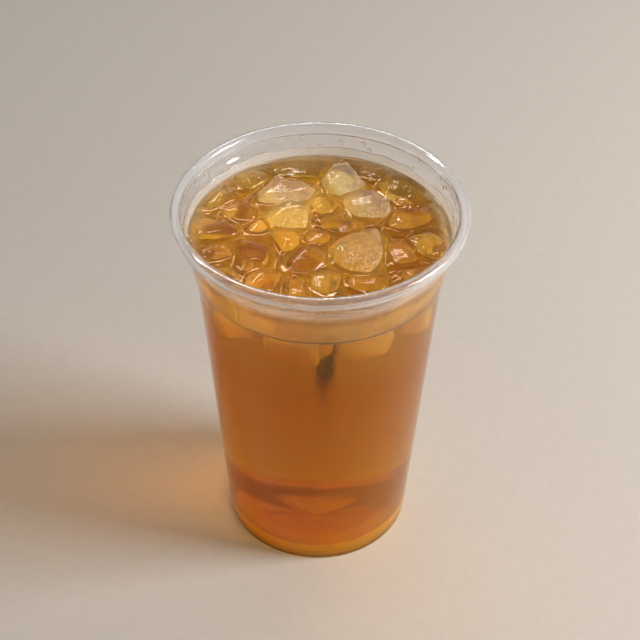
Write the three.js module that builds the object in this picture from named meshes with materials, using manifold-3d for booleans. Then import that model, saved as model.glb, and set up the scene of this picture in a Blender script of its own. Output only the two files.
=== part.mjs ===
// A clear disposable cup of iced tea: a thin moulded cup with a rolled lip, filled nearly to
// the lip with amber tea, and lumps of half-melted ice floating packed together at the top.
// Millimetres, +Z up. The origin is at the centre of the foot, on the surface the cup stands on.
// Seen from the front, -Y is towards the viewer and +X is to the right.
import * as THREE from "three";
import { mergeVertices } from "three/addons/utils/BufferGeometryUtils.js";
import Module from "manifold-3d";

const wasm = await Module();
wasm.setup();

// Driving dimensions
const CUP_HEIGHT = 137;
const LIP_RADIUS = 49;
const WALL = 0.6;
const TEA_LEVEL = 124.5;
const GAP = 0.3;
const SEGMENTS = 48;

// The cup's own colours and the colours of what it holds
const CLEAR_PLASTIC = { color: 0xd8d6d4, roughness: 0.12, metalness: 0, transparent: true, opacity: 0.35 };
const AMBER_TEA = { color: 0xb06a12, roughness: 0.05, metalness: 0, transparent: true, opacity: 0.85 };
const WET_ICE = { color: 0xd9c49c, roughness: 0.08, metalness: 0, transparent: true, opacity: 0.6 };

// Lip: the top edge of the wall is rolled outwards and down into an open curl
const CURL_RADIUS = 1.9;
const CURL_DROP = 0.7;
const CURL_END = -110;
const CURL_STEPS = 6;
const DROP_STEPS = 2;
const NECK_RADIUS = LIP_RADIUS - 2 * CURL_RADIUS + WALL;
const CURL_TOP = [LIP_RADIUS - CURL_RADIUS, CUP_HEIGHT - CURL_RADIUS];
const CURL_BOTTOM = [CURL_TOP[0], CURL_TOP[1] - CURL_DROP];

// Outside of the wall, as [radius, height], from the foot up to the neck below the lip.
// The lower wall is a plain taper. Above the moulded line it flares out to the shoulder that
// the next cup in a stack rests on.
const FOOT_RADIUS = 32.9;
const FOOT_CORNER = 1.2;
const TIGHTEST_CORNER = 0.3;
const CORNER_STEPS = 2;
const BEND = [41.0, 109];
const LINE_BELOW = [41.75, 113.5];
const LINE_ABOVE = [42.1, 114.3];
const SHOULDER_BELOW = [45.05, 129.7];
const SHOULDER_ABOVE = [NECK_RADIUS, 130.7];

// Underside: a flat ring to stand on round a raised floor, with the moulding mark in its
// middle. The floor's edge moves out less than the rest of the wall moves in, as its side slopes.
const FOOT_RING_INSIDE = 29.8;
const FLOOR_RADIUS = 28.6;
const FLOOR_HEIGHT = 5;
const FLOOR_EDGE_SHARE = 0.8;
const MARK_RADIUS = 1.4;
const MARK_DEPTH = 0.4;

// Turns a merged, closed geometry into a manifold solid.
function solidOf(geometry) {
  const bare = geometry.clone();
  bare.deleteAttribute("normal");
  bare.deleteAttribute("uv");
  const merged = mergeVertices(bare, 1e-3);
  const corners = merged.index.array;
  const kept = [];
  for (let i = 0; i < corners.length; i += 3) {
    const [a, b, c] = [corners[i], corners[i + 1], corners[i + 2]];
    if (a !== b && b !== c && c !== a) kept.push(a, b, c);
  }
  const vertProperties = merged.attributes.position.array;
  return new wasm.Manifold(new wasm.Mesh({ numProp: 3, vertProperties, triVerts: new Uint32Array(kept) }));
}

// Turns a manifold solid back into a geometry that three.js can draw.
function geometryOf(solid) {
  const mesh = solid.getMesh();
  const geometry = new THREE.BufferGeometry();
  geometry.setAttribute("position", new THREE.BufferAttribute(mesh.vertProperties, 3));
  geometry.setIndex(new THREE.BufferAttribute(mesh.triVerts, 1));
  geometry.computeVertexNormals();
  return geometry;
}

// Spins a profile of [radius, height] pairs, starting and ending on the axis, round +Z.
function spin(profile) {
  const points = profile.map(([radius, height]) => new THREE.Vector2(radius, height));
  return new THREE.LatheGeometry(points, SEGMENTS).rotateX(Math.PI / 2);
}

function degrees(angle) {
  return (angle * Math.PI) / 180;
}

// Points on an arc, between two angles in degrees measured from straight outwards.
function arc([radius, height], size, from, to, steps) {
  return Array.from({ length: steps + 1 }, (_, i) => {
    const angle = degrees(from + ((to - from) * i) / steps);
    return [radius + size * Math.cos(angle), height + size * Math.sin(angle)];
  });
}

// The wall's outside moved in by a distance, from the foot's corner up to the neck.
function wallInside(distance) {
  return [BEND, LINE_BELOW, LINE_ABOVE, SHOULDER_BELOW, SHOULDER_ABOVE].map(([radius, height]) => [
    radius - distance,
    height,
  ]);
}

// Half of the section below the wall, moved in by a distance, from the axis out to the wall:
// the raised floor, its sloping side, and the channel that the foot ring makes.
function bottomInside(distance) {
  const corner = [FOOT_RADIUS - FOOT_CORNER, FOOT_CORNER];
  const size = Math.max(FOOT_CORNER - distance, TIGHTEST_CORNER);
  const over = Math.max(distance + TIGHTEST_CORNER - FOOT_CORNER, 0);
  const centre = [corner[0] - over, corner[1] + over];
  return [
    [0, FLOOR_HEIGHT + distance],
    [FLOOR_RADIUS + distance * FLOOR_EDGE_SHARE, FLOOR_HEIGHT + distance],
    [FOOT_RING_INSIDE + distance, distance],
    ...arc(centre, size, -90, 0, CORNER_STEPS),
  ];
}

// One face of the curl, at a distance from the curl's middle, from the neck over to the free edge
function curlFace(size) {
  return [...arc(CURL_TOP, size, 180, 0, CURL_STEPS), ...arc(CURL_BOTTOM, size, 0, CURL_END, DROP_STEPS)];
}

// Cup: one thin wall, from the floor's underside out and up the outside, round the curl, and
// down the inside
function cupGeometry() {
  const underside = [
    [0, FLOOR_HEIGHT - MARK_DEPTH],
    [MARK_RADIUS - MARK_DEPTH, FLOOR_HEIGHT - MARK_DEPTH],
    [MARK_RADIUS, FLOOR_HEIGHT],
    ...bottomInside(0).slice(1),
  ];
  const curl = [...curlFace(CURL_RADIUS - WALL), ...curlFace(CURL_RADIUS).reverse()];
  const inside = [...bottomInside(WALL), ...wallInside(WALL)].reverse();
  return spin([...underside, ...wallInside(0), ...curl, ...inside]);
}

// Tea: fills the cup to its level, and climbs a little where it meets the wall. The climb
// bends at a share of its reach and of its rise.
const MENISCUS_RISE = 0.7;
const MENISCUS_REACH = 1.6;
const MENISCUS_BEND = [0.35, 0.3];

function teaGeometry() {
  const inset = WALL + GAP;
  const wall = wallInside(inset);
  const [low, high] = [wall[2], wall[3]];
  const radiusAt = (height) => low[0] + ((high[0] - low[0]) * (height - low[1])) / (high[1] - low[1]);
  return spin([
    ...bottomInside(inset),
    ...wall.slice(0, 3),
    [radiusAt(TEA_LEVEL + MENISCUS_RISE), TEA_LEVEL + MENISCUS_RISE],
    [radiusAt(TEA_LEVEL) - MENISCUS_REACH * MENISCUS_BEND[0], TEA_LEVEL + MENISCUS_RISE * MENISCUS_BEND[1]],
    [radiusAt(TEA_LEVEL) - MENISCUS_REACH, TEA_LEVEL],
    [0, TEA_LEVEL],
  ]);
}

// Ice: each lump is a block with melted edges. at is its middle seen from above, size its
// length, width and depth before its neighbours cut it back, turn its bearing, lean its tilt
// about its own length and width, and rise how far its top stands out of the tea. Where two
// blocks would meet, both have melted back to one slanting face, and none reaches the wall.
const LUMPS = [
  { at: [-12, 20.5], size: [36, 22, 17], turn: 18, lean: [6, -3], rise: 3.7 },
  { at: [-24.5, 28], size: [20, 11.5, 13], turn: 40, lean: [-6, 4], rise: 2.8 },
  { at: [-34, 17], size: [22, 11, 12], turn: 62, lean: [8, 0], rise: 2.3 },
  { at: [-6, 35.5], size: [27.5, 15, 14], turn: 4, lean: [-5, 3], rise: 2.5 },
  { at: [8.5, 27], size: [17.5, 19, 15], turn: 20, lean: [10, 6], rise: 5.3 },
  { at: [17.8, 33], size: [19.5, 11.5, 13], turn: -28, lean: [-6, -4], rise: 2.5 },
  { at: [28, 22.5], size: [28, 16, 14], turn: -38, lean: [5, 4], rise: 3.5 },
  { at: [15, 14.5], size: [22, 15, 15], turn: -4, lean: [7, -5], rise: 3.9 },
  { at: [2.4, 15.2], size: [13, 13, 12], turn: 25, lean: [-4, 6], rise: 2.5 },
  { at: [-9.5, 6.4], size: [17.5, 17, 15], turn: 32, lean: [9, -8], rise: 4.4 },
  { at: [4, 4.5], size: [20, 17, 15], turn: 8, lean: [-7, 5], rise: 3.2 },
  { at: [-27.5, 10.5], size: [15, 11, 11], turn: -18, lean: [4, 8], rise: 2.5 },
  { at: [-34, 1.5], size: [19.5, 15, 13], turn: 12, lean: [-8, 6], rise: 3 },
  { at: [-22.6, -11], size: [27.5, 21, 16], turn: 82, lean: [4, 5], rise: 3 },
  { at: [-20, 2.5], size: [13.5, 11.5, 12], turn: 40, lean: [6, -4], rise: 2.3 },
  { at: [-11.2, -5.1], size: [13, 13, 14], turn: 40, lean: [-8, 7], rise: 3.9 },
  { at: [-4, -15], size: [22, 19.5, 16], turn: -32, lean: [6, 8], rise: 3.5 },
  { at: [-0.5, -4], size: [11, 10.5, 11], turn: 10, lean: [4, -6], rise: 2.3 },
  { at: [13, -9.5], size: [30.5, 28, 18], turn: -22, lean: [-4, 5], rise: 4.1 },
  { at: [27, -12], size: [11, 22, 14], turn: 12, lean: [5, -6], rise: 2.5 },
  { at: [35, -6.5], size: [14.5, 20, 13], turn: 6, lean: [-5, 6], rise: 2.8 },
  { at: [29.5, 6.5], size: [26, 17, 14], turn: 6, lean: [6, 3], rise: 2.5 },
  { at: [30.5, -21.5], size: [19.5, 10.5, 13], turn: 42, lean: [-9, 4], rise: 3.2 },
  { at: [14.2, -26], size: [19.5, 17.5, 15], turn: 4, lean: [5, -5], rise: 3.5 },
  { at: [3, -27], size: [14.5, 16, 14], turn: -6, lean: [7, 4], rise: 2.8 },
  { at: [-6.5, -27.5], size: [13.5, 16, 13], turn: 8, lean: [-6, -5], rise: 2.5 },
  { at: [-17.6, -25.6], size: [22, 13.5, 15], turn: -16, lean: [5, 6], rise: 3 },
  { at: [-34.5, -12], size: [15, 19.5, 13], turn: 24, lean: [6, -6], rise: 2.3 },
  { at: [-28.8, -23], size: [16, 11.5, 13], turn: -50, lean: [-6, 3], rise: 2.5 },
  { at: [-11, -36.4], size: [23.5, 10.5, 14], turn: -17, lean: [5, 3], rise: 2.3 },
  { at: [7.2, -37], size: [25.5, 10.5, 14], turn: 11, lean: [-5, 4], rise: 2.3 },
  { at: [23.4, -30.2], size: [13.5, 9, 13], turn: 38, lean: [4, -4], rise: 2.3 },
];

// A lump wider than BIG_LUMP is split finer. MELT is the power that rounds the block: 2 is a
// ball. The dents are shares of a lump's size, and SLANT tilts the faces between lumps.
const BIG_LUMP = 20;
const BIG_PARTS = 4;
const SMALL_PARTS = 3;
const MELT = 6;
const DENT = 0.035;
const DENT_WAVE = 2.6;
const DENT_COUNT = 3;
const ICE_GAP = 0.7;
const WALL_FILM = 0.5;
const SLANT = 0.3;
const SLANT_STEP = 2.4;
const HALVINGS = 16;

// A seeded generator of numbers from 0 to 1, so that every lump is the same on each build.
function numbersFrom(seed) {
  let state = seed * 2654435761;
  return () => {
    state = (state + 0x6d2b79f5) | 0;
    let mixed = Math.imul(state ^ (state >>> 15), 1 | state);
    mixed = (mixed + Math.imul(mixed ^ (mixed >>> 7), 61 | mixed)) ^ mixed;
    return ((mixed ^ (mixed >>> 14)) >>> 0) / 4294967296;
  };
}

function middleOf(lump) {
  return new THREE.Vector3(...lump.at, TEA_LEVEL + lump.rise - lump.size[2] / 2);
}

function turnOf(lump) {
  const [length, width] = lump.lean.map(degrees);
  return new THREE.Matrix4().makeRotationFromEuler(new THREE.Euler(length, width, degrees(lump.turn), "ZYX"));
}

// How far a lump's block reaches from its middle in a direction.
function reachOf(lump, way) {
  const sides = [new THREE.Vector3(), new THREE.Vector3(), new THREE.Vector3()];
  turnOf(lump).extractBasis(...sides);
  return sides.reduce((total, side, i) => total + (Math.abs(way.dot(side)) * lump.size[i]) / 2, 0);
}

// The face that a lump has towards another: its direction, and its distance from the middle.
// Seen from the other lump it is the same face, so the two keep their gap all over.
function faceBetween(lump, other) {
  const way = middleOf(other).sub(middleOf(lump));
  const apart = way.length();
  way.normalize();
  const share = reachOf(lump, way) / (reachOf(lump, way) + reachOf(other, way));
  const pair = LUMPS.indexOf(lump) + LUMPS.indexOf(other);
  const tilt = SLANT * Math.sin(pair * SLANT_STEP) * Math.sign(LUMPS.indexOf(other) - LUMPS.indexOf(lump));
  const tilted = way.clone().add(new THREE.Vector3(0, 0, tilt)).normalize();
  return { way: tilted, limit: apart * share * way.dot(tilted) - ICE_GAP / 2 };
}

// Outside radius of the wall at a height.
function wallRadius(height) {
  const stops = [[FOOT_RADIUS, FOOT_CORNER], BEND, LINE_BELOW, LINE_ABOVE, SHOULDER_BELOW];
  const above = Math.max(stops.findIndex((stop) => stop[1] > height), 1);
  const [low, high] = [stops[above - 1], stops[above]];
  return low[0] + ((high[0] - low[0]) * (height - low[1])) / (high[1] - low[1]);
}

// The share of the way from a lump's middle to a point that stays clear of the wall.
function shareInsideWall(middle, out, margin) {
  const clear = WALL + GAP + WALL_FILM - margin;
  const at = new THREE.Vector3();
  let [inside, outside] = [0, 1];
  for (let i = 0; i < HALVINGS; i += 1) {
    const share = i === 0 ? 1 : (inside + outside) / 2;
    at.copy(middle).addScaledVector(out, share);
    if (Math.hypot(at.x, at.y) > wallRadius(at.z) - clear) outside = share;
    else inside = share;
  }
  return inside;
}

// A block whose edges have melted round, with soft dents, cut back from its neighbours and
// the wall, and grown by a margin all round.
function lumpGeometry(lump, margin = 0) {
  const parts = Math.min(lump.size[0], lump.size[1]) > BIG_LUMP ? BIG_PARTS : SMALL_PARTS;
  const random = numbersFrom(LUMPS.indexOf(lump) + 1);
  const waves = Array.from({ length: DENT_COUNT }, () => ({
    way: new THREE.Vector3(random() - 0.5, random() - 0.5, random() - 0.5).normalize(),
    phase: random() * Math.PI * 2,
  }));
  const grown = new THREE.Vector3(...lump.size).multiplyScalar(0.5).addScalar(margin);
  const faces = LUMPS.filter((other) => other !== lump).map((other) => faceBetween(lump, other));
  const middle = middleOf(lump);
  const turn = turnOf(lump);
  const geometry = new THREE.BoxGeometry(2, 2, 2, parts, parts, parts);
  const position = geometry.attributes.position;
  const point = new THREE.Vector3();
  for (let i = 0; i < position.count; i += 1) {
    point.fromBufferAttribute(position, i);
    const sum = Math.abs(point.x) ** MELT + Math.abs(point.y) ** MELT + Math.abs(point.z) ** MELT;
    point.multiplyScalar(1 / sum ** (1 / MELT));
    const dent = waves.reduce((total, { way, phase }) => total + Math.sin(DENT_WAVE * point.dot(way) + phase), 0);
    point.multiplyScalar(1 - DENT * (1 + dent / DENT_COUNT)).multiply(grown).applyMatrix4(turn);
    for (const { way, limit } of faces) {
      const reach = point.dot(way);
      if (reach > limit + margin) point.multiplyScalar((limit + margin) / reach);
    }
    point.multiplyScalar(shareInsideWall(middle, point, margin)).add(middle);
    position.setXYZ(i, point.x, point.y, point.z);
  }
  return geometry;
}

function named(name, geometry, material) {
  const mesh = new THREE.Mesh(geometry, new THREE.MeshStandardMaterial(material));
  mesh.name = name;
  return mesh;
}

const drink = new THREE.Group();
drink.add(named("cup", cupGeometry(), CLEAR_PLASTIC));

const pockets = LUMPS.map((lump) => solidOf(lumpGeometry(lump, GAP)));
const tea = pockets.reduce((body, pocket) => body.subtract(pocket), solidOf(teaGeometry()));
drink.add(named("tea", geometryOf(tea), AMBER_TEA));

const ice = new THREE.Group();
LUMPS.forEach((lump, i) => {
  const number = String(i + 1).padStart(2, "0");
  ice.add(named(`ice_${number}`, lumpGeometry(lump), WET_ICE));
});
drink.add(ice);

export default drink;
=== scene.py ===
import math
import random

import bmesh
import bpy
import numpy as np
from mathutils import Matrix, Vector, noise
from mathutils.bvhtree import BVHTree


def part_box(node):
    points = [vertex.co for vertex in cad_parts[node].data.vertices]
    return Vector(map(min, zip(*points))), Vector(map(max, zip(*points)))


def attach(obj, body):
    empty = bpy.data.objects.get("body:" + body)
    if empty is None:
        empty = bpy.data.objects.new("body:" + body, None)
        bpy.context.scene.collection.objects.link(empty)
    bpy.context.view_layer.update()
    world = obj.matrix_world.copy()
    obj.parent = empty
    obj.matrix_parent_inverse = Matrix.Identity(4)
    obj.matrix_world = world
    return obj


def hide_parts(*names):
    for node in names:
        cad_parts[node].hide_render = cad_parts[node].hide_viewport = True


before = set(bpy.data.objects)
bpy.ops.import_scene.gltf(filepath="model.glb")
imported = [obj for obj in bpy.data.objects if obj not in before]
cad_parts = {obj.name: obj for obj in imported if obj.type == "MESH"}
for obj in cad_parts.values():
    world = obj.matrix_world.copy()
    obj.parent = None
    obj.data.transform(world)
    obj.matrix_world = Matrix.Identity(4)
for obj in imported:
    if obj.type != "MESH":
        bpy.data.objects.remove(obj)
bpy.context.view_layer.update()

MM = 0.001


# The cup: one thin wall of clear plastic, pulled down hot into a mould. Its lip is rolled
# outwards into an open curl, a shoulder below the lip lets cups stack, and the floor, with
# the moulding mark under its middle, is raised inside the ring that the cup stands on.
LIP_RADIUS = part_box("cup")[1].x
CUP_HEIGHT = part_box("cup")[1].z
WALL = 0.6 * MM
CURL_RADIUS = 1.9 * MM
CURL_DROP = 0.7 * MM
CURL_END = -110
NECK_RADIUS = LIP_RADIUS - 2 * CURL_RADIUS + WALL
FLOOR_HEIGHT = 5 * MM
MARK_RADIUS = 1.4 * MM
MARK_DEPTH = 0.4 * MM
AROUND = 256
CORNER_STEPS = 5
MOST_OF_A_SIDE = 0.45
SAME_SPOT = 0.001 * MM

# Outside of the wall from the floor to the neck, as radius, height and rounding of the corner
OUTSIDE = [
    (28.6 * MM, FLOOR_HEIGHT, 0.7 * MM),
    (29.8 * MM, 0, 0.3 * MM),
    (32.9 * MM, 0, 1.1 * MM),
    (33.0 * MM, 2.6 * MM, 1.2 * MM),
    (33.15 * MM, 3.3 * MM, 0.8 * MM),
    (41.0 * MM, 108.6 * MM, 9 * MM),
    (41.72 * MM, 113.3 * MM, 0.35 * MM),
    (42.2 * MM, 114.1 * MM, 0.4 * MM),
    (45.0 * MM, 129.6 * MM, 1.0 * MM),
    (NECK_RADIUS, 130.8 * MM, 1.0 * MM),
]

# Edge of the moulding mark: how far in from its rim and how far down, as shares of its depth
MARK_EDGE = [(1.2, 1), (0.8, 0.8), (0, 0)]


def rounded(corners, first, last):
    """A profile through corners, each rounded to its own radius, from first to last."""
    points = [Vector(first)]
    stops = [Vector(first)] + [Vector(c[:2]) for c in corners] + [Vector(last)]
    for before, here, after, (_, _, size) in zip(stops, stops[1:], stops[2:], corners):
        inward = (before - here).normalized()
        onward = (after - here).normalized()
        reach = min(
            size / math.tan(inward.angle(onward) / 2),
            MOST_OF_A_SIDE * (before - here).length,
            MOST_OF_A_SIDE * (after - here).length,
        )
        start = here + inward * reach
        end = here + onward * reach
        for i in range(CORNER_STEPS + 1):
            t = i / CORNER_STEPS
            points.append(start * (1 - t) ** 2 + here * 2 * t * (1 - t) + end * t ** 2)
    points.append(Vector(last))
    return points


def arc(centre, size, start, end, steps):
    """Points on an arc between two angles in degrees, measured from straight outwards."""
    angles = [math.radians(start + (end - start) * i / steps) for i in range(steps + 1)]
    return [Vector((centre[0] + size * math.cos(a), centre[1] + size * math.sin(a))) for a in angles]


def moved_in(points, distance):
    """The same profile moved sideways, towards the inside of the cup."""
    shifted = []
    for i, point in enumerate(points):
        along = points[min(i + 1, len(points) - 1)] - points[max(i - 1, 0)]
        side = Vector((-along.y, along.x)).normalized()
        shifted.append(point + side * distance)
    return shifted


def linked(name, mesh):
    """A new object in the scene for a mesh."""
    piece = bpy.data.objects.new(name, mesh)
    bpy.context.scene.collection.objects.link(piece)
    return piece


def spun(name, profile):
    """A closed, smooth piece: a profile of radius and height, spun round the cup's axis."""
    turned = bmesh.new()
    bearings = np.linspace(0, 2 * math.pi, AROUND, endpoint=False)
    circle = [(math.cos(a), math.sin(a)) for a in bearings]
    rings = []
    for radius, height in profile:
        if radius < SAME_SPOT:
            rings.append([turned.verts.new((0, 0, height))])
        else:
            rings.append([turned.verts.new((radius * x, radius * y, height)) for x, y in circle])
    for low, high in zip(rings, rings[1:]):
        for i in range(AROUND):
            j = (i + 1) % AROUND
            below = [low[i % len(low)], low[j % len(low)]]
            above = [high[j % len(high)], high[i % len(high)]]
            turned.faces.new(dict.fromkeys(below + above)).smooth = True
    bmesh.ops.recalc_face_normals(turned, faces=turned.faces)
    mesh = bpy.data.meshes.new(name)
    turned.to_mesh(mesh)
    turned.free()
    return linked(name, mesh)


def curled(size, top_steps, drop_steps):
    """One face of the rolled lip, from the neck over to its free edge."""
    return arc(curl_top, size, 180, 0, top_steps) + arc(curl_bottom, size, 0, CURL_END, drop_steps)


curl_top = (LIP_RADIUS - CURL_RADIUS, CUP_HEIGHT - CURL_RADIUS)
curl_bottom = (curl_top[0], curl_top[1] - CURL_DROP)
wall_outside = rounded(OUTSIDE, (0, FLOOR_HEIGHT), (NECK_RADIUS, curl_top[1]))
curl_inside = curled(CURL_RADIUS - WALL, top_steps=20, drop_steps=12)
curl_outside = curled(CURL_RADIUS, top_steps=24, drop_steps=14)
edge_middle = (curl_inside[-1] + curl_outside[-1]) / 2
free_edge = arc(edge_middle, WALL / 2, CURL_END + 180, CURL_END + 360, steps=6)
wall_inside = moved_in(wall_outside, WALL)
moulding_mark = [Vector((0, FLOOR_HEIGHT - MARK_DEPTH))]
for inset, drop in MARK_EDGE:
    moulding_mark.append(Vector((MARK_RADIUS - inset * MARK_DEPTH, FLOOR_HEIGHT - drop * MARK_DEPTH)))
cup_profile = (
    moulding_mark
    + wall_outside[1:-1]
    + curl_inside
    + free_edge[1:-1]
    + curl_outside[::-1]
    + wall_inside[-2::-1]
)
cup = spun("clear_cup", cup_profile)


def new_material(name):
    """A material with an empty node tree."""
    material = bpy.data.materials.new(name)
    material.use_nodes = True
    tree = material.node_tree
    tree.nodes.clear()
    return material, tree


def add(tree, kind, **values):
    """Adds a node. Values that name an input set it, and the rest set the node itself."""
    node = tree.nodes.new(kind)
    for key, value in values.items():
        plain = key.replace("_", " ").lower()
        sockets = [s for s in node.inputs if s.name.lower() == plain]
        if sockets:
            sockets[0].default_value = value
        else:
            setattr(node, key, value)
    return node


def glass_like(name, colour, ior, through):
    """A clear, smooth material, its tree, and its shader node wired to its output."""
    material, tree = new_material(name)
    shader = add(tree, "ShaderNodeBsdfPrincipled", Base_Color=(*colour, 1), Roughness=0.0)
    shader.inputs["IOR"].default_value = ior
    shader.inputs["Transmission Weight"].default_value = through
    output = add(tree, "ShaderNodeOutputMaterial")
    tree.links.new(shader.outputs["BSDF"], output.inputs["Surface"])
    return material, tree, shader, output


def lets_lamps_through(tree, shader, output, tint):
    """Lets the lamps' light through clear matter in its own colour, as the real one does."""
    path = add(tree, "ShaderNodeLightPath")
    clear = add(tree, "ShaderNodeBsdfTransparent")
    clear.inputs["Color"].default_value = (*tint, 1)
    either = add(tree, "ShaderNodeMixShader")
    tree.links.new(path.outputs["Is Shadow Ray"], either.inputs["Fac"])
    tree.links.new(shader.outputs["BSDF"], either.inputs[1])
    tree.links.new(clear.outputs["BSDF"], either.inputs[2])
    tree.links.new(either.outputs["Shader"], output.inputs["Surface"])


def uneven_group():
    """A shader group for unevenness over a piece, put out as a patchy mask and as a normal."""
    group = bpy.data.node_groups.new("uneven_surface", "ShaderNodeTree")
    usual = {"Patch": 10 * MM, "Twist": 0.3, "Low": 0.4, "High": 0.7, "Depth": 0.2 * MM}
    for name, value in usual.items():
        socket = group.interface.new_socket(name, in_out="INPUT", socket_type="NodeSocketFloat")
        socket.default_value = value
    group.interface.new_socket("Mask", in_out="OUTPUT", socket_type="NodeSocketFloat")
    group.interface.new_socket("Normal", in_out="OUTPUT", socket_type="NodeSocketVector")
    given = add(group, "NodeGroupInput")
    result = add(group, "NodeGroupOutput")
    place = add(group, "ShaderNodeTexCoord")
    scale = add(group, "ShaderNodeMath", operation="DIVIDE")
    scale.inputs[0].default_value = 1
    texture = add(group, "ShaderNodeTexNoise", Detail=4.0)
    spread = add(group, "ShaderNodeMapRange")
    bump = add(group, "ShaderNodeBump")
    group.links.new(given.outputs["Patch"], scale.inputs[1])
    group.links.new(place.outputs["Object"], texture.inputs["Vector"])
    group.links.new(scale.outputs["Value"], texture.inputs["Scale"])
    group.links.new(given.outputs["Twist"], texture.inputs["Distortion"])
    group.links.new(texture.outputs["Fac"], spread.inputs["Value"])
    group.links.new(given.outputs["Low"], spread.inputs["From Min"])
    group.links.new(given.outputs["High"], spread.inputs["From Max"])
    group.links.new(spread.outputs["Result"], result.inputs["Mask"])
    group.links.new(texture.outputs["Fac"], bump.inputs["Height"])
    group.links.new(given.outputs["Depth"], bump.inputs["Distance"])
    group.links.new(bump.outputs["Normal"], result.inputs["Normal"])
    return group


def uneven(tree, **values):
    """Places the group in a material with its own values."""
    node = add(tree, "ShaderNodeGroup", node_tree=bpy.data.node_groups["uneven_surface"])
    for name, value in values.items():
        node.inputs[name].default_value = value
    return node


def ranged(tree, source, low, high, out_low, out_high):
    """Maps a value from one range onto another, held at the ends."""
    node = add(tree, "ShaderNodeMapRange")
    tree.links.new(source, node.inputs["Value"])
    node.inputs["From Min"].default_value = low
    node.inputs["From Max"].default_value = high
    node.inputs["To Min"].default_value = out_low
    node.inputs["To Max"].default_value = out_high
    return node.outputs["Result"]


def roughened(tree, shader, texture, smoothest, roughest):
    """Lets a texture's patches vary the roughness between two values."""
    rough = ranged(tree, texture.outputs["Mask"], 0, 1, smoothest, roughest)
    tree.links.new(rough, shader.inputs["Roughness"])


def rippled(tree, shader, texture):
    """Lets a texture's unevenness bend the light on the surface."""
    tree.links.new(texture.outputs["Normal"], shader.inputs["Normal"])


# Clear plastic with a faint milky haze and the slight waviness of a pulled sheet, in three
# zones by height. The wall round the drink shows hardly a reflection, and the neck and the
# lip do. The lip, rolled up on itself, is the haziest.
PLASTIC_COLOUR = (0.98, 0.98, 0.99)
PLASTIC_IOR = 1.49
PLASTIC_SHADE = (0.62, 0.62, 0.62)
HAZE_PATCH = 11 * MM
WAVE_LENGTH = 17 * MM
WAVE_DEPTH = 0.3 * MM
PLASTIC_ZONES = {
    "clear_plastic": {"from": 0, "through": 1.0, "shine": (0.16, 0.1, 0.05), "rough": (0.03, 0.09)},
    "clear_plastic_neck": {
        "from": 113.6 * MM,
        "through": 0.99,
        "shine": (1, 0.97, 0.93),
        "rough": (0.02, 0.08),
    },
    "clear_plastic_lip": {"from": 131.2 * MM, "through": 0.96, "shine": (1, 1, 1), "rough": (0.03, 0.1)},
}


def clear_plastic(name, zone):
    """The material of one zone of the cup."""
    material, tree, shader, output = glass_like(name, PLASTIC_COLOUR, PLASTIC_IOR, zone["through"])
    shader.inputs["Specular Tint"].default_value = (*zone["shine"], 1)
    roughened(tree, shader, uneven(tree, Patch=HAZE_PATCH, Low=0.35, High=0.7), *zone["rough"])
    rippled(tree, shader, uneven(tree, Patch=WAVE_LENGTH, Depth=WAVE_DEPTH))
    lets_lamps_through(tree, shader, output, PLASTIC_SHADE)
    return material


uneven_group()
zone_starts = [zone["from"] for zone in PLASTIC_ZONES.values()]
for name, zone in PLASTIC_ZONES.items():
    cup.data.materials.append(clear_plastic(name, zone))
for face in cup.data.polygons:
    face.material_index = sum(face.center.z > start for start in zone_starts[1:])
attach(cup, "root")
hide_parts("cup")


# The ice: lumps from a machine, half melted, so their edges are round and their faces
# dented. Each one takes the form and place of its solid, made smooth and uneven. Most are
# clear, three are milky with air, and two more are milky with a golden tint painted on:
# painted light, standing in for the tea's amber light on them.
ICE_GRAIN = 0.72 * MM
SOFTENING_STEPS = 4
ICE_SWELL = 0.06 * MM
BROAD_DENT = 0.3 * MM
BROAD_DENT_WIDTH = 6.5 * MM
FINE_DENT = 0.07 * MM
FINE_DENT_WIDTH = 2.2 * MM
APART_IN_NOISE = Vector((13.7, 5.1, 9.3))
ICE_IOR = 1.31
ICE_SHADE = (0.95, 0.95, 0.95)
FROST_PATCH = 6 * MM
SKIN_PATCH = 3.4 * MM
SKIN_DEPTH = 0.3 * MM
MILKY = ("ice_01", "ice_05", "ice_08")
# The two lumps whose golden tint is painted light, for the tea's amber light on them
TEA_LIT = ("ice_10", "ice_19")


def settled(pieces):
    """Turns what the pieces' modifiers make into their plain meshes."""
    seen = bpy.context.evaluated_depsgraph_get()
    made = [bpy.data.meshes.new_from_object(piece.evaluated_get(seen)) for piece in pieces]
    for piece, mesh in zip(pieces, made):
        piece.modifiers.clear()
        piece.data = mesh


def softened(name, rough, grain):
    """A lump with the form of a rough closed mesh, its edges melted round by modifiers."""
    joined = bmesh.new()
    joined.from_mesh(rough)
    bmesh.ops.remove_doubles(joined, verts=joined.verts, dist=SAME_SPOT)
    bmesh.ops.recalc_face_normals(joined, faces=joined.faces)
    mesh = bpy.data.meshes.new(name)
    joined.to_mesh(mesh)
    joined.free()
    piece = linked(name, mesh)
    even = piece.modifiers.new("even", "REMESH")
    even.mode = "VOXEL"
    even.voxel_size = grain
    soft = piece.modifiers.new("soft", "SMOOTH")
    soft.factor = 0.5
    soft.iterations = SOFTENING_STEPS
    return piece


def dented(piece, seed):
    """Gives a lump the uneven, melted skin of wet ice."""
    away = seed * APART_IN_NOISE
    for vertex in piece.data.vertices:
        broad = noise.noise(vertex.co / BROAD_DENT_WIDTH + away)
        fine = noise.noise(vertex.co / FINE_DENT_WIDTH + away)
        vertex.co += vertex.normal * (ICE_SWELL + BROAD_DENT * broad + FINE_DENT * fine)
    piece.data.update()
    for face in piece.data.polygons:
        face.use_smooth = True


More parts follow.
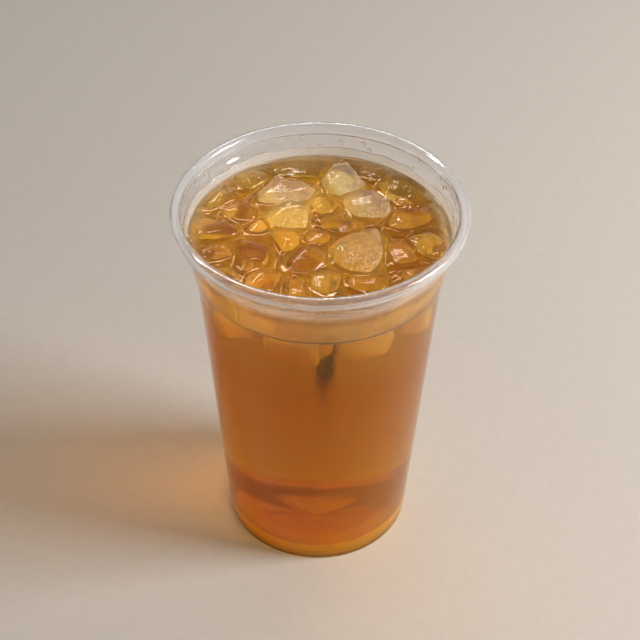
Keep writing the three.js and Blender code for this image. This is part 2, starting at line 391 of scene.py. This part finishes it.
def ice_material(name, colour, through):
    """Wet ice: clear to milky, with patches that are a little rough and a rippled skin."""
    material, tree, shader, output = glass_like(name, colour, ICE_IOR, through)
    frost = uneven(tree, Patch=FROST_PATCH, Low=0.45, High=0.75)
    roughened(tree, shader, frost, smoothest=0.0, roughest=0.04)
    rippled(tree, shader, uneven(tree, Patch=SKIN_PATCH, Twist=0.6, Depth=SKIN_DEPTH))
    lets_lamps_through(tree, shader, output, ICE_SHADE)
    return material


clear_ice = ice_material("clear_ice", colour=(1, 0.95, 0.62), through=0.985)
milky_ice = ice_material("milky_ice", colour=(1, 0.96, 0.85), through=0.88)
# Painted light: this golden tint stands in for the tea's amber light on these two lumps
tea_lit_ice = ice_material("tea_lit_ice", colour=(0.97, 0.94, 0.66), through=0.92)
unlike_the_rest = dict.fromkeys(MILKY, milky_ice) | dict.fromkeys(TEA_LIT, tea_lit_ice)

ice_nodes = sorted(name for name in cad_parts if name.startswith("ice_"))
lumps = [
    softened(node.replace("ice", "ice_lump"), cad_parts[node].data, ICE_GRAIN)
    for node in ice_nodes
]
settled(lumps)
for number, (lump, node) in enumerate(zip(lumps, ice_nodes)):
    dented(lump, number)
    lump.data.materials.append(unlike_the_rest.get(node, clear_ice))
    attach(lump, "root")
    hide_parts(node)


# Bubbles in the ice: air that froze into the middle of the milky lumps and of the two with the
# painted golden tint, and makes them look white there. Each one is a tiny ball of air. They are
# strewn by the square metre over shells round the lump's middle, each a share of the lump's own size.
FROZEN_BUBBLES = {
    "Density": 3.5e5,
    "Smallest": 0.05 * MM,
    "Largest": 0.15 * MM,
    "Flatness": 1.0,
    "Fineness": 1,
    "Seed": 5,
}
BUBBLE_SHELLS = (0.2, 0.35, 0.5)
AIR_IOR = 1.2
AIR_SHADE = (0.9, 0.9, 0.9)
SPECKLE_PATCH = 0.5 * MM


def scatter_tree():
    """A node tree that strews balls over a mesh, flattened along its faces' normals."""
    tree = bpy.data.node_groups.new("strewn_balls", "GeometryNodeTree")
    tree.is_modifier = True
    wanted = {
        "Geometry": "NodeSocketGeometry",
        "Density": "NodeSocketFloat",
        "Smallest": "NodeSocketFloat",
        "Largest": "NodeSocketFloat",
        "Flatness": "NodeSocketFloat",
        "Fineness": "NodeSocketInt",
        "Seed": "NodeSocketInt",
        "Material": "NodeSocketMaterial",
    }
    for name, kind in wanted.items():
        tree.interface.new_socket(name, in_out="INPUT", socket_type=kind)
    tree.interface.new_socket("Geometry", in_out="OUTPUT", socket_type="NodeSocketGeometry")
    given = add(tree, "NodeGroupInput")
    result = add(tree, "NodeGroupOutput")
    spots = add(tree, "GeometryNodeDistributePointsOnFaces")
    size = add(tree, "FunctionNodeRandomValue", data_type="FLOAT")
    height = add(tree, "ShaderNodeMath", operation="MULTIPLY")
    scale = add(tree, "ShaderNodeCombineXYZ")
    ball = add(tree, "GeometryNodeMeshIcoSphere", Radius=1)
    smooth = add(tree, "GeometryNodeSetShadeSmooth")
    placed = add(tree, "GeometryNodeInstanceOnPoints")
    real = add(tree, "GeometryNodeRealizeInstances")
    coated = add(tree, "GeometryNodeSetMaterial")
    joins = [
        (given.outputs["Geometry"], spots.inputs["Mesh"]),
        (given.outputs["Density"], spots.inputs["Density"]),
        (given.outputs["Seed"], spots.inputs["Seed"]),
        (given.outputs["Smallest"], size.inputs[2]),
        (given.outputs["Largest"], size.inputs[3]),
        (given.outputs["Seed"], size.inputs["Seed"]),
        (size.outputs[1], height.inputs[0]),
        (given.outputs["Flatness"], height.inputs[1]),
        (size.outputs[1], scale.inputs["X"]),
        (size.outputs[1], scale.inputs["Y"]),
        (height.outputs["Value"], scale.inputs["Z"]),
        (given.outputs["Fineness"], ball.inputs["Subdivisions"]),
        (ball.outputs["Mesh"], smooth.inputs["Geometry"]),
        (smooth.outputs["Geometry"], placed.inputs["Instance"]),
        (spots.outputs["Points"], placed.inputs["Points"]),
        (spots.outputs["Rotation"], placed.inputs["Rotation"]),
        (scale.outputs["Vector"], placed.inputs["Scale"]),
        (placed.outputs["Instances"], real.inputs["Geometry"]),
        (real.outputs["Geometry"], coated.inputs["Geometry"]),
        (given.outputs["Material"], coated.inputs["Material"]),
        (coated.outputs["Geometry"], result.inputs["Geometry"]),
    ]
    for source, target in joins:
        tree.links.new(source, target)
    return tree


def strewn(name, base, values, material):
    """A piece of small balls, strewn over a base mesh that itself is left out."""
    piece = linked(name, base)
    modifier = piece.modifiers.new("strewn", "NODES")
    modifier.node_group = ball_scatter
    for socket in ball_scatter.interface.items_tree:
        if socket.name in values:
            modifier[socket.identifier] = values[socket.name]
        elif socket.name == "Material":
            modifier[socket.identifier] = material
    settled([piece])
    return piece


ball_scatter = scatter_tree()
air, tree, shader, output = glass_like("frozen_air", colour=(1, 0.98, 0.94), ior=AIR_IOR, through=0.4)
speckle = uneven(tree, Patch=SPECKLE_PATCH, Low=0.3, High=0.7)
roughened(tree, shader, speckle, smoothest=0.05, roughest=0.3)
lets_lamps_through(tree, shader, output, AIR_SHADE)

shells = bmesh.new()
for node in MILKY + TEA_LIT:
    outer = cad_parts[node].data
    middle = sum((v.co for v in outer.vertices), Vector()) / len(outer.vertices)
    for share in BUBBLE_SHELLS:
        core = outer.copy()
        shrink = Matrix.Translation(middle) @ Matrix.Scale(share, 4) @ Matrix.Translation(-middle)
        core.transform(shrink)
        shells.from_mesh(core)
        bpy.data.meshes.remove(core)
cores = bpy.data.meshes.new("cores")
shells.to_mesh(cores)
shells.free()
air_bubbles = strewn("air_in_ice", cores, FROZEN_BUBBLES, air)
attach(air_bubbles, "root")


# Sunk ice: lumps wholly under the tea, in two rings below the ones that float against the
# surface. They are the same ice, seen through the wall as soft pale shapes.
TEA_LEVEL = 124.5 * MM
SUNK_RINGS = [
    {"count": 9, "radius": 32 * MM, "depth": 18 * MM, "size": 13 * MM, "turn": 12},
    {"count": 5, "radius": 16 * MM, "depth": 21 * MM, "size": 13 * MM, "turn": 40},
]
SUNK_SEED = 7
SUNK_STRAY_DEGREES = 9
SUNK_REACH = (0.93, 1.03)
SUNK_DROP = 4 * MM
SUNK_SIZE = (0.85, 1.1)
SUNK_TURN_RADIANS = 6.3
SUNK_LEAN_RADIANS = 0.9
SUNK_GRAIN = 1.2 * MM
FIRST_DENT_SEED = 50
BLOCK_SIDES = ((1.1, 1.4), (0.6, 0.8), (0.8, 1.0))
BLOCK_DENTS = (-0.17, 0.12)
BLOCK_POWER = 8


def block(size, seed):
    """A rough, lopsided box with cut corners, for a lump that only shows through the tea."""
    draw = random.Random(seed)
    shares = [draw.uniform(*side) for side in BLOCK_SIDES]
    shape = bmesh.new()
    bmesh.ops.create_cube(shape, size=1)
    bmesh.ops.subdivide_edges(shape, edges=shape.edges, cuts=2, use_grid_fill=True)
    for vertex in shape.verts:
        spread = sum(abs(c * 2) ** BLOCK_POWER for c in vertex.co) ** (1 / BLOCK_POWER)
        vertex.co = vertex.co / spread * (1 + draw.uniform(*BLOCK_DENTS))
        vertex.co = Vector(c * share * size for c, share in zip(vertex.co, shares))
    mesh = bpy.data.meshes.new("block")
    shape.to_mesh(mesh)
    shape.free()
    return mesh


sunk_ice = ice_material("sunk_ice", colour=(1, 0.94, 0.7), through=0.86)
draw = random.Random(SUNK_SEED)
sunk = []
for ring in SUNK_RINGS:
    for i in range(ring["count"]):
        stray = draw.uniform(-SUNK_STRAY_DEGREES, SUNK_STRAY_DEGREES)
        bearing = math.radians(ring["turn"] + 360 * i / ring["count"] + stray)
        reach = ring["radius"] * draw.uniform(*SUNK_REACH)
        height = TEA_LEVEL - ring["depth"] - draw.uniform(0, SUNK_DROP)
        middle = Vector((reach * math.cos(bearing), reach * math.sin(bearing), height))
        rough = block(ring["size"] * draw.uniform(*SUNK_SIZE), len(sunk))
        turn = Matrix.Rotation(draw.uniform(0, SUNK_TURN_RADIANS), 4, "Z")
        lean = Matrix.Rotation(draw.uniform(-SUNK_LEAN_RADIANS, SUNK_LEAN_RADIANS), 4, "X")
        rough.transform(Matrix.Translation(middle) @ turn @ lean)
        sunk.append(softened(f"sunk_ice_{len(sunk) + 1:02d}", rough, SUNK_GRAIN))
settled(sunk)
for number, lump in enumerate(sunk):
    dented(lump, FIRST_DENT_SEED + number)
    lump.data.materials.append(sunk_ice)
    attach(lump, "root")


# The tea: clear amber liquid that fills the cup. It reaches just into the wall, climbs a
# little where it wets the wall and the ice, and is cut round every lump.
INTO_WALL = 0.15 * MM
WALL_CLIMB = 1.3 * MM
ICE_CLIMB = 1.6 * MM
CLIMB_REACH = 1.9 * MM
RIPPLE_LENGTH = 9 * MM
RIPPLE_HEIGHT = 0.12 * MM
TOP_STEP = 0.48 * MM
POCKET_INSET = 0.07 * MM


def point_at(profile, height):
    """The point where a profile rises through a height."""
    for low, high in zip(profile, profile[1:]):
        if low.y <= height < high.y:
            return low.lerp(high, (height - low.y) / (high.y - low.y))


wetted = moved_in(wall_outside, WALL - INTO_WALL)
edge = point_at(wetted, TEA_LEVEL + WALL_CLIMB)
sides = [point for point in wetted if point.y < TEA_LEVEL + WALL_CLIMB]
rings = int(edge.x / TOP_STEP)
top = [Vector((edge.x * (1 - i / rings), TEA_LEVEL)) for i in range(1, rings + 1)]
tea = spun("tea_body", sides + [edge] + top)

joined = bmesh.new()
for lump in lumps:
    joined.from_mesh(lump.data)
ice_surface = BVHTree.FromBMesh(joined)
joined.free()
inner_edge = edge.x - INTO_WALL
for vertex in tea.data.vertices:
    if abs(vertex.co.z - TEA_LEVEL) < SAME_SPOT:
        reach = math.hypot(vertex.co.x, vertex.co.y)
        nearest, outward, _, apart = ice_surface.find_nearest(vertex.co)
        inside = (vertex.co - nearest).dot(outward) < 0
        ice_climb = 1.0 if inside else math.exp(-apart / CLIMB_REACH)
        wall_climb = math.exp(-max(inner_edge - reach, 0) / CLIMB_REACH)
        ripple = noise.noise(vertex.co / RIPPLE_LENGTH) * RIPPLE_HEIGHT
        vertex.co.z += max(ICE_CLIMB * ice_climb, WALL_CLIMB * wall_climb) + ripple * (1 - wall_climb)

pockets = bmesh.new()
for lump in lumps + sunk:
    pocket = lump.data.copy()
    for vertex in pocket.vertices:
        vertex.co -= vertex.normal * POCKET_INSET
    pockets.from_mesh(pocket)
    bpy.data.meshes.remove(pocket)
pocket_mesh = bpy.data.meshes.new("pockets")
pockets.to_mesh(pocket_mesh)
pockets.free()
pocket_piece = linked("pockets", pocket_mesh)
cut = tea.modifiers.new("cut", "BOOLEAN")
cut.operation = "DIFFERENCE"
cut.object = pocket_piece
cut.solver = "MANIFOLD"
settled([tea])
bpy.data.objects.remove(pocket_piece)
for face in tea.data.polygons:
    face.use_smooth = True

# Its tone by height is darkest in the middle and a little lighter towards the bottom. Upwards
# towards the ice it pales: painted light, a glow painted in for the light that comes down
# through the ice. It is deepest in the layer on top, and that layer is palest where it thins
# out against the wall. What light goes through the drink is soaked up on its way, blue most of all.
# Tones by height: the tea's own amber, with a painted glow of light from above in the pale upper stops
TEA_TONES_AND_PAINTED_LIGHT = [
    (6 * MM, (0.98, 0.58, 0.01)),
    (30 * MM, (0.94, 0.48, 0.01)),
    (60 * MM, (0.88, 0.40, 0.01)),
    (88 * MM, (0.85, 0.38, 0.01)),
    (106 * MM, (0.93, 0.64, 0.14)),
    (120 * MM, (0.98, 0.80, 0.30)),
    (123.5 * MM, (0.60, 0.38, 0.06)),
    (126.6 * MM, (0.68, 0.46, 0.12)),
]
TONE_DRIFT = 2.5 * MM
TONE_PATCH = 14 * MM
PALE_EDGE = (0.93, 0.80, 0.58)
PALE_FROM = 38.5 * MM
PALE_TO = 42 * MM
TOP_LAYER = 1 * MM
WATER_IOR = 1.333
TEA_SHINE = (1, 0.84, 0.6)
TEA_SHADE = (0.95, 0.94, 0.91)
LEFT_BY_TEA = (0.86, 0.68, 0.0)
STRENGTH_OF_TEA = 40
amber, tree, shader, output = glass_like("amber_tea", TEA_TONES_AND_PAINTED_LIGHT[0][1], ior=WATER_IOR, through=0.9)
place = add(tree, "ShaderNodeTexCoord")
height = add(tree, "ShaderNodeSeparateXYZ")
cast = uneven(tree, Patch=TONE_PATCH, Low=0.35, High=0.65)
drift = ranged(tree, cast.outputs["Mask"], 0, 1, -TONE_DRIFT, 0)
shifted = add(tree, "ShaderNodeMath", operation="ADD")
# This ramp paints the tea's amber together with the painted light near the ice into the base colour
tone_and_light = add(tree, "ShaderNodeValToRGB")
tone_and_light_stops = tone_and_light.color_ramp.elements
while len(tone_and_light_stops) < len(TEA_TONES_AND_PAINTED_LIGHT):
    tone_and_light_stops.new(1)
for element, (level, colour) in zip(tone_and_light_stops, TEA_TONES_AND_PAINTED_LIGHT):
    element.position = level / CUP_HEIGHT
    element.color = (*colour, 1)
tree.links.new(place.outputs["Object"], height.inputs["Vector"])
tree.links.new(height.outputs["Z"], shifted.inputs[0])
tree.links.new(drift, shifted.inputs[1])
tree.links.new(ranged(tree, shifted.outputs["Value"], 0, CUP_HEIGHT, 0, 1), tone_and_light.inputs["Fac"])
sideways = add(tree, "ShaderNodeCombineXYZ")
out_from_axis = add(tree, "ShaderNodeVectorMath", operation="LENGTH")
tree.links.new(height.outputs["X"], sideways.inputs["X"])
tree.links.new(height.outputs["Y"], sideways.inputs["Y"])
tree.links.new(sideways.outputs["Vector"], out_from_axis.inputs[0])
at_edge = ranged(tree, out_from_axis.outputs["Value"], PALE_FROM, PALE_TO, 0, 1)
at_top = ranged(tree, height.outputs["Z"], TEA_LEVEL - TOP_LAYER, TEA_LEVEL, 0, 1)
thin = add(tree, "ShaderNodeMath", operation="MULTIPLY")
tree.links.new(at_edge, thin.inputs[0])
tree.links.new(at_top, thin.inputs[1])
paled = add(tree, "ShaderNodeMix", data_type="RGBA")
paled.inputs[7].default_value = (*PALE_EDGE, 1)
tree.links.new(thin.outputs["Value"], paled.inputs[0])
tree.links.new(tone_and_light.outputs["Color"], paled.inputs[6])
tree.links.new(paled.outputs[2], shader.inputs["Base Color"])
rippled(tree, shader, uneven(tree, Patch=RIPPLE_LENGTH, Twist=0.2, Depth=0.1 * MM))
shader.inputs["Specular Tint"].default_value = (*TEA_SHINE, 1)
lets_lamps_through(tree, shader, output, TEA_SHADE)
drink = add(tree, "ShaderNodeVolumeAbsorption")
drink.inputs["Color"].default_value = (*LEFT_BY_TEA, 1)
drink.inputs["Density"].default_value = STRENGTH_OF_TEA
tree.links.new(drink.outputs["Volume"], output.inputs["Volume"])
tea.data.materials.clear()
tea.data.materials.append(amber)
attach(tea, "root")
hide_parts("tea")


# Drops: tea and melted ice that splashed on the inside of the wall above the tea, mostly at
# the back, and a few bubbles that float against the wall. Both are small clear beads.
DROPS = {
    "Density": 3.6e4,
    "Smallest": 0.35 * MM,
    "Largest": 1.15 * MM,
    "Flatness": 0.4,
    "Fineness": 3,
    "Seed": 11,
}
DROP_BAND = (TEA_LEVEL + 2.2 * MM, TEA_LEVEL + 9 * MM)
DROP_BEARINGS = (-15, 195)
FLOATING_BUBBLES = {
    "Density": 5.5e4,
    "Smallest": 0.45 * MM,
    "Largest": 0.9 * MM,
    "Flatness": 0.8,
    "Fineness": 3,
    "Seed": 3,
}
BUBBLE_LEVEL = TEA_LEVEL + 0.9 * MM
BUBBLE_INSETS = (1.6 * MM, 0.8 * MM)
BUBBLE_BEARINGS = (0, 360)
BAND_STEPS = 60
WATER_SHADE = (0.95, 0.95, 0.95)


def band(name, profile, bearings):
    """An open strip of wall: a short profile swept between two bearings in degrees."""
    strip = bmesh.new()
    columns = []
    for i in range(BAND_STEPS + 1):
        bearing = math.radians(bearings[0] + (bearings[1] - bearings[0]) * i / BAND_STEPS)
        way = Vector((math.cos(bearing), math.sin(bearing), 0))
        places = [way * radius + Vector((0, 0, height)) for radius, height in profile]
        columns.append([strip.verts.new(place) for place in places])
    for left, right in zip(columns, columns[1:]):
        for j in range(len(profile) - 1):
            strip.faces.new((left[j], left[j + 1], right[j + 1], right[j]))
    mesh = bpy.data.meshes.new(name)
    strip.to_mesh(mesh)
    strip.free()
    return mesh


def wall_radius(height):
    """Radius of the inside of the wall at a height."""
    return point_at(wall_inside, height).x


water, tree, shader, output = glass_like("water_drops", (1, 0.97, 0.92), ior=WATER_IOR, through=0.99)
skin = uneven(tree, Patch=1.5 * MM, Depth=0.04 * MM)
roughened(tree, shader, skin, smoothest=0.0, roughest=0.04)
rippled(tree, shader, skin)
lets_lamps_through(tree, shader, output, WATER_SHADE)

drop_profile = [(wall_radius(height), height) for height in DROP_BAND]
bubble_profile = [(wall_radius(BUBBLE_LEVEL) - inset, BUBBLE_LEVEL) for inset in BUBBLE_INSETS]
drop_band = band("wall_band", drop_profile, DROP_BEARINGS)
bubble_band = band("edge_band", bubble_profile, BUBBLE_BEARINGS)
wall_drops = strewn("wall_drops", drop_band, DROPS, water)
wall_bubbles = strewn("bubbles_at_wall", bubble_band, FLOATING_BUBBLES, water)
for beads in (wall_drops, wall_bubbles):
    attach(beads, "root")


# The wet film: water that clings to the inside of the wall above the tea, where the ice has
# washed it. It is thin, a little hazy, and its upper edge wanders.
FILM_FROM = TEA_LEVEL + 0.6 * MM
FILM_TO = TEA_LEVEL + 4.2 * MM
FILM_WANDER = 1.5 * MM
WANDER_BENDS = 3
SMALL_WANDER = 0.45
SMALLER_BENDS = 3.1
FILM_DEPTH = 0.22 * MM
FILM_TAPER = 3
FILM_INTO_WALL = 0.1 * MM
FILM_STEPS = 8

levels = [FILM_FROM + (FILM_TO - FILM_FROM) * i / FILM_STEPS for i in range(FILM_STEPS + 1)]
film_outside = [Vector((wall_radius(height) + FILM_INTO_WALL, height)) for height in levels]
film_inside = [
    Vector((wall_radius(height) - FILM_DEPTH * (1 - (i / FILM_STEPS) ** FILM_TAPER), height))
    for i, height in enumerate(levels)
]
wet_film = spun("wet_film", film_outside + film_inside[::-1] + film_outside[:1])
for vertex in wet_film.data.vertices:
    share = (vertex.co.z - FILM_FROM) / (FILM_TO - FILM_FROM)
    around = Vector((vertex.co.x, vertex.co.y, 0)).normalized() * WANDER_BENDS
    wander = noise.noise(around) + SMALL_WANDER * noise.noise(around * SMALLER_BENDS)
    vertex.co.z += share * FILM_WANDER * wander
closed = bmesh.new()
closed.from_mesh(wet_film.data)
bmesh.ops.remove_doubles(closed, verts=closed.verts, dist=SAME_SPOT)
bmesh.ops.recalc_face_normals(closed, faces=closed.faces)
closed.to_mesh(wet_film.data)
closed.free()

wet, tree, shader, output = glass_like("wet_film", (1, 0.95, 0.88), ior=WATER_IOR, through=0.9)
runs = uneven(tree, Patch=3 * MM, Twist=0.8, Depth=0.3 * MM)
roughened(tree, shader, runs, smoothest=0.0, roughest=0.12)
rippled(tree, shader, runs)
lets_lamps_through(tree, shader, output, WATER_SHADE)
wet_film.data.materials.append(wet)
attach(wet_film, "root")


# Stage, lights and camera: a plain pale table, one large soft lamp from the right, a faint
# broad glow and a narrow strip behind the cup, and the photo's own viewing angle.
FLOOR_SIZE = 6
FLOOR_COLOUR = (0.60, 0.53, 0.46)
MOTTLE_SHADE = 0.96
ROOM_COLOUR = (0.80, 0.77, 0.75)
ROOM_LIGHT = 0.21
bpy.ops.mesh.primitive_plane_add(size=FLOOR_SIZE)
floor = bpy.context.object
floor.name = "floor"
table, tree = new_material("table")
shader = add(tree, "ShaderNodeBsdfPrincipled", Roughness=0.75)
output = add(tree, "ShaderNodeOutputMaterial")
tree.links.new(shader.outputs["BSDF"], output.inputs["Surface"])
mottle = uneven(tree, Patch=4 * MM, Low=0.3, High=0.7)
shade = add(tree, "ShaderNodeMix", data_type="RGBA")
shade.inputs[6].default_value = (*FLOOR_COLOUR, 1)
shade.inputs[7].default_value = (*(c * MOTTLE_SHADE for c in FLOOR_COLOUR), 1)
tree.links.new(mottle.outputs["Mask"], shade.inputs[0])
tree.links.new(shade.outputs[2], shader.inputs["Base Color"])
floor.data.materials.append(table)


def soft_lamp(name, place, aim, width, height, power):
    """A flat lamp at a place, turned to face a point."""
    lamp = bpy.data.lights.new(name, "AREA")
    lamp.shape = "RECTANGLE"
    lamp.size = width
    lamp.size_y = height
    lamp.energy = power
    holder = bpy.data.objects.new(name, lamp)
    holder.location = place
    holder.rotation_euler = (Vector(aim) - Vector(place)).to_track_quat("-Z", "Y").to_euler()
    bpy.context.scene.collection.objects.link(holder)
    return holder


# The key lights everything, but isn't seen through the drink, where it would be a hard patch
key = soft_lamp("key", place=(0.92, -0.09, 0.66), aim=(0, 0, 0.07), width=0.45, height=0.45, power=15)
key.visible_transmission = False

# The glow shines from behind like a pale wall, and isn't mirrored in the plastic
glow = soft_lamp("wall_glow", place=(0.15, 1.5, 1.0), aim=(0, 0, 0.1), width=2.8, height=1.7, power=9)
glow.visible_glossy = False

# The strip only gives thin white glints. It doesn't light the table or show through the drink
strip = soft_lamp("strip", place=(-0.45, 0.7, 1.1), aim=(0, 0, 0.1), width=1.2, height=0.1, power=10)
strip.visible_transmission = False
strip.visible_diffuse = False

world = bpy.data.worlds.new("studio")
world.use_nodes = True
room = world.node_tree.nodes["Background"]
room.inputs["Color"].default_value = (*ROOM_COLOUR, 1)
room.inputs["Strength"].default_value = ROOM_LIGHT
bpy.context.scene.world = world

# The camera's numbers were fitted to the outlines of the cup's lip, foot and sides in the
# photo, which is 640 pixels wide
LENS = 88.35
VIEW_ELEVATION = math.radians(41.19)
VIEW_DISTANCE = 541.9 * MM
VIEW_ROLL = math.radians(0.53)
AIM = Vector((0, 0, 87.26 * MM))
PHOTO_WIDTH = 640
AXIS_SHIFT = 0.96 / PHOTO_WIDTH
view = bpy.data.cameras.new("photo_view")
view.lens = LENS
view.sensor_width = 36
view.shift_x = AXIS_SHIFT
view.clip_start = 0.01
camera = bpy.data.objects.new("photo_view", view)
back = Vector((0, -math.cos(VIEW_ELEVATION), math.sin(VIEW_ELEVATION)))
turned = (-back).to_track_quat("-Z", "Y").to_matrix() @ Matrix.Rotation(VIEW_ROLL, 3, "Z")
camera.matrix_world = Matrix.Translation(AIM + back * VIEW_DISTANCE) @ turned.to_4x4()
bpy.context.scene.collection.objects.link(camera)
bpy.context.scene.camera = camera

bpy.context.scene.view_settings.view_transform = "Standard"
cycles = bpy.context.scene.cycles
cycles.max_bounces = 32
cycles.transmission_bounces = 32
cycles.glossy_bounces = 12
cycles.transparent_max_bounces = 32
cycles.use_denoising = True
